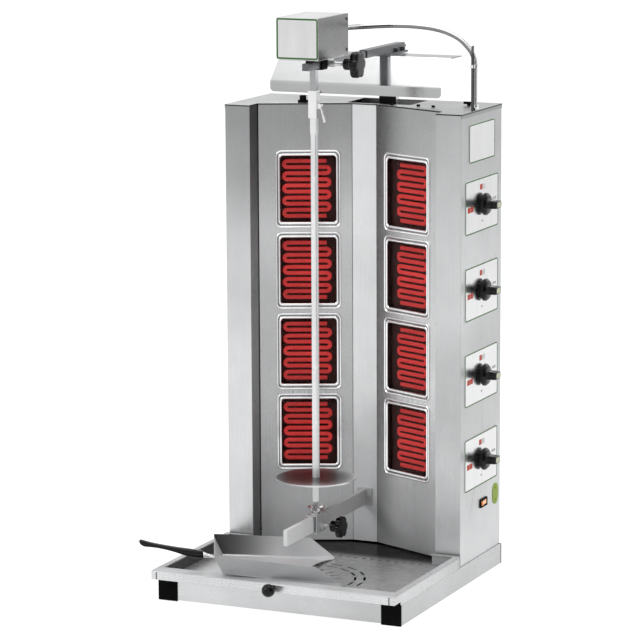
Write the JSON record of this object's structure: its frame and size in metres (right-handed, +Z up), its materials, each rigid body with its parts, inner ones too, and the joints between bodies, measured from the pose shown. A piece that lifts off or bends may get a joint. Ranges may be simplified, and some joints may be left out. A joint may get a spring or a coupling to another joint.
{
  "type": "doner kebab grill",
  "caption": "Free-standing kebab grill: steel cabinet with heated recess, motor-driven upright spit on sliding arms, pull-out grease tray and loose scoop.",
  "frame": {"origin": "middle of the bounding box on the plane the two base rails stand on", "axes": "+X to the side with the control knobs, +Y from the front lip of the tray to the back, +Z up"},
  "size_m": [0.5692, 0.6464, 1.1045],
  "materials": {
    "steel_sheet": "fine brushed stainless sheet",
    "steel_frame": "brushed stainless tube and bar",
    "bright_steel": "polished steel",
    "dark_steel": "oiled dark steel",
    "black_plastic": "moulded black plastic",
    "black_gloss": "glossy black phenolic",
    "heater_glass": "dark heat proof glass",
    "heater_ribbon": "glowing heating ribbon",
    "insulation": "pressed ceramic fibre",
    "plate_enamel": "pale satin lacquer with a dark green border",
    "pale_plastic": "pale insulating plastic",
    "orange_lens": "lit orange plastic",
    "green_enamel": "yellow green lacquer",
    "motor_iron": "painted gear housing",
    "conduit_metal": "bright spiral metal conduit"
  },
  "bodies": {
    "cabinet": {"rail_left": "steel_frame", "rail_right": "steel_frame", "rail_caps": "black_plastic", "front_member": "steel_sheet", "rear_member": "steel_sheet", "drip_pan": "steel_sheet", "side_left": "steel_sheet", "side_right": "steel_sheet", "back_panel": "steel_sheet", "top_panel": "steel_sheet", "bottom_panel": "steel_sheet", "heater_panel_left": "steel_sheet", "heater_panel_right": "steel_sheet", "centre_column": "steel_sheet", "bezels_left": "bright_steel", "bezels_right": "bright_steel", "glass_left": "heater_glass", "glass_right": "heater_glass", "elements_left": "heater_ribbon", "elements_right": "heater_ribbon", "insulation_boards": "insulation", "control_plates": "plate_enamel", "badge_plate": "plate_enamel", "rotary_switches": "black_plastic", "terminal_block": "pale_plastic", "mains_gland": "black_plastic", "switch_frame": "black_plastic", "cover_plate": "green_enamel", "top_fittings": "black_plastic", "lower_arm": "steel_frame", "arm_post": "steel_frame", "upper_arm_bar": "steel_frame", "deflector": "steel_sheet", "conduit": "conduit_metal", "conduit_fittings": "conduit_metal", "support_rod": "steel_frame"},
    "grease_tray": {"tray": "steel_sheet", "tray_knob": "black_gloss"},
    "scoop": {"scoop_blade": "steel_sheet", "scoop_grip": "black_gloss"},
    "upper_carriage": {"motor_housing": "steel_sheet", "motor_plate": "plate_enamel", "gear_motor": "motor_iron", "motor_carriage": "steel_frame", "shaft_bearing": "black_plastic", "motor_gland": "conduit_metal"},
    "upper_clamp": {"upper_clamp_knob": "black_plastic"},
    "lower_slider": {"lower_carriage": "steel_frame", "bearing_cup": "dark_steel"},
    "lower_clamp": {"lower_clamp_knob": "black_plastic"},
    "spit": {"drive_shaft": "bright_steel", "spit_rod": "bright_steel"},
    "sleeve": {"coupling_sleeve": "bright_steel"},
    "latch": {"coupling_latch": "dark_steel"},
    "disc": {"meat_disc": "steel_sheet"},
    "control_knob_1": {"knob_1": "black_gloss"},
    "control_knob_2": {"knob_2": "black_gloss"},
    "control_knob_3": {"knob_3": "black_gloss"},
    "control_knob_4": {"knob_4": "black_gloss"},
    "rocker": {"switch_rocker": "orange_lens"}
  },
  "joints": [
    {"name": "tray_slide", "type": "slide", "parent": "cabinet", "child": "grease_tray", "axis": [0, -1, 0], "range_m": [0, 0.3]},
    {"name": "scoop_pull", "type": "slide", "parent": "grease_tray", "child": "scoop", "axis": [-0.8881, -0.4138, 0.2], "range_m": [0, 0.35]},
    {"name": "upper_carriage_slide", "type": "slide", "parent": "cabinet", "child": "upper_carriage", "axis": [0, 1, 0], "range_m": [-0.03, 0.08], "deforming": ["conduit"]},
    {"name": "lower_carriage_slide", "type": "slide", "parent": "cabinet", "child": "lower_slider", "axis": [0, 1, 0], "range_m": [-0.03, 0.08]},
    {"name": "upper_clamp_turn", "type": "hinge", "parent": "upper_carriage", "child": "upper_clamp", "pos_m": [0.05878, -0.06675, 1.0135], "axis": [1, 0, 0], "range_deg": [0, 270]},
    {"name": "lower_clamp_turn", "type": "hinge", "parent": "lower_slider", "child": "lower_clamp", "pos_m": [0.03478, -0.08275, 0.13], "axis": [1, 0, 0], "range_deg": [0, 270]},
    {"name": "spit_turn", "type": "hinge", "parent": "upper_carriage", "child": "spit", "pos_m": [0.00328, -0.08275, 0.95], "axis": [0, 0, 1], "continuous": true},
    {"name": "sleeve_lift", "type": "slide", "parent": "spit", "child": "sleeve", "axis": [0, 0, 1], "range_m": [0, 0.03]},
    {"name": "latch_swing", "type": "hinge", "parent": "sleeve", "child": "latch", "pos_m": [0.01578, -0.08275, 0.934], "axis": [0, -1, 0], "range_deg": [0, 60]},
    {"name": "disc_slide", "type": "slide", "parent": "spit", "child": "disc", "axis": [0, 0, 1], "range_m": [0, 0.35]},
    {"name": "knob_1_turn", "type": "hinge", "parent": "cabinet", "child": "control_knob_1", "pos_m": [0.25128, 0.15275, 0.2325], "axis": [1, 0, 0], "range_deg": [-90, 180]},
    {"name": "knob_2_turn", "type": "hinge", "parent": "cabinet", "child": "control_knob_2", "pos_m": [0.25128, 0.15275, 0.399], "axis": [1, 0, 0], "range_deg": [-90, 180]},
    {"name": "knob_3_turn", "type": "hinge", "parent": "cabinet", "child": "control_knob_3", "pos_m": [0.25128, 0.15275, 0.5655], "axis": [1, 0, 0], "range_deg": [-90, 180]},
    {"name": "knob_4_turn", "type": "hinge", "parent": "cabinet", "child": "control_knob_4", "pos_m": [0.25128, 0.15275, 0.732], "axis": [1, 0, 0], "range_deg": [-90, 180]},
    {"name": "rocker_tilt", "type": "hinge", "parent": "cabinet", "child": "rocker", "pos_m": [0.24828, 0.16325, 0.143], "axis": [0, 0, -1], "range_deg": [0, 14]}
  ],
  "couplings": [
    {"joint": "lower_carriage_slide", "follows": "upper_carriage_slide", "ratio": 1}
  ]
}
